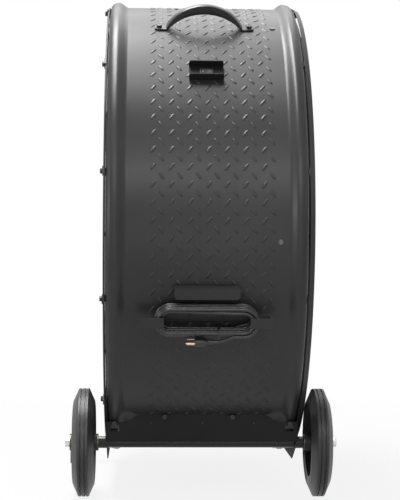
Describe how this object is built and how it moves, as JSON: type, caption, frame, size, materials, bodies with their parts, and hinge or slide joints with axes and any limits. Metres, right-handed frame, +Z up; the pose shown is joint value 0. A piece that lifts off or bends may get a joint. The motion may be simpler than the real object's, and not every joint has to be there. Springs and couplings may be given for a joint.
{
  "type": "drum fan",
  "caption": "Belt-drive drum fan: rolled steel drum with end guards on a cradle with two wheels and a rear foot bar, carry handle, rocker switch and wound cord.",
  "frame": {"origin": "on the floor under the centre of the drum", "axes": "+X along the air axis towards the intake side, -Y towards the wheel side with the switch and handle, +Z up"},
  "size_m": [0.67, 1.1269, 1.2038],
  "materials": {
    "body_paint": "semi-gloss",
    "guard_paint": "semi-gloss",
    "fastener_black": "satin",
    "zinc": "satin",
    "washer_brass": "satin",
    "blade_metal": "semi-gloss",
    "cast": "matte",
    "motor_paint": "satin",
    "tyre_rubber": "matte",
    "hub_plastic": "matte",
    "foot_rubber": "matte",
    "belt_rubber": "matte",
    "cord_jacket": "satin",
    "plug_plastic": "satin",
    "plug_brass": "satin",
    "switch_plastic": "gloss"
  },
  "bodies": {
    "drum_frame": {"axle_nuts": "zinc", "axle_rod": "zinc", "axle_tube": "body_paint", "axle_washers": "washer_brass", "bearing_beam": "body_paint", "bearing_bolts": "zinc", "carry_handle": "body_paint", "cord_gland": "plug_plastic", "cord_hank": "cord_jacket", "cord_lead": "cord_jacket", "cord_tail": "cord_jacket", "cord_tie": "plug_plastic", "cord_wrap": "body_paint", "cord_wrap_rivets": "fastener_black", "cradle_bolts": "fastener_black", "cradle_web_foot_side": "body_paint", "cradle_web_wheel_side": "body_paint", "drive_belt": "belt_rubber", "drum_brackets": "body_paint", "drum_screws": "zinc", "drum_shell": "body_paint", "foot_bar": "body_paint", "foot_front": "foot_rubber", "foot_rear": "foot_rubber", "front_guard": "guard_paint", "front_guard_clips": "guard_paint", "front_guard_rim": "guard_paint", "guard_bolts": "fastener_black", "handle_bolts": "fastener_black", "motor_beam": "body_paint", "motor_body": "motor_paint", "motor_bolts": "zinc", "motor_cable": "cord_jacket", "motor_cradle": "body_paint", "motor_wiring_box": "motor_paint", "pillow_block_front": "cast", "pillow_block_rear": "cast", "plug_prongs": "plug_brass", "power_plug": "plug_plastic", "rear_guard": "guard_paint", "rear_guard_band": "guard_paint", "side_plate_front": "body_paint", "side_plate_rear": "body_paint", "switch_body": "switch_plastic", "switch_guard": "body_paint"},
    "fan_rotor": {"fan_shaft": "zinc", "fan_hub": "cast", "fan_blade_1": "blade_metal", "fan_blade_2": "blade_metal", "fan_blade_3": "blade_metal", "fan_blade_4": "blade_metal", "blade_rivets": "zinc", "fan_pulley": "cast"},
    "motor_rotor": {"motor_shaft": "zinc", "motor_pulley": "cast"},
    "wheel_front": {"tyre_front": "tyre_rubber", "wheel_hub_front": "hub_plastic"},
    "wheel_rear": {"tyre_rear": "tyre_rubber", "wheel_hub_rear": "hub_plastic"},
    "rocker": {"switch_rocker": "switch_plastic"}
  },
  "joints": [
    {"name": "fan_spin", "type": "hinge", "parent": "drum_frame", "child": "fan_rotor", "pos_m": [0, 0, 0.642], "axis": [1, 0, 0], "continuous": true},
    {"name": "motor_spin", "type": "hinge", "parent": "drum_frame", "child": "motor_rotor", "pos_m": [0.18, 0, 1.007], "axis": [1, 0, 0], "continuous": true},
    {"name": "wheel_front_spin", "type": "hinge", "parent": "drum_frame", "child": "wheel_front", "pos_m": [-0.277, -0.264, 0.127], "axis": [1, 0, 0], "continuous": true},
    {"name": "wheel_rear_spin", "type": "hinge", "parent": "drum_frame", "child": "wheel_rear", "pos_m": [0.277, -0.264, 0.127], "axis": [1, 0, 0], "continuous": true},
    {"name": "switch_tilt", "type": "hinge", "parent": "drum_frame", "child": "rocker", "pos_m": [0, -0.43379, 0.98336], "axis": [0, 0.6184, 0.7859], "range_deg": [-8, 8]}
  ],
  "couplings": [
    {"joint": "motor_spin", "follows": "fan_spin", "ratio": 3.3514}
  ]
}
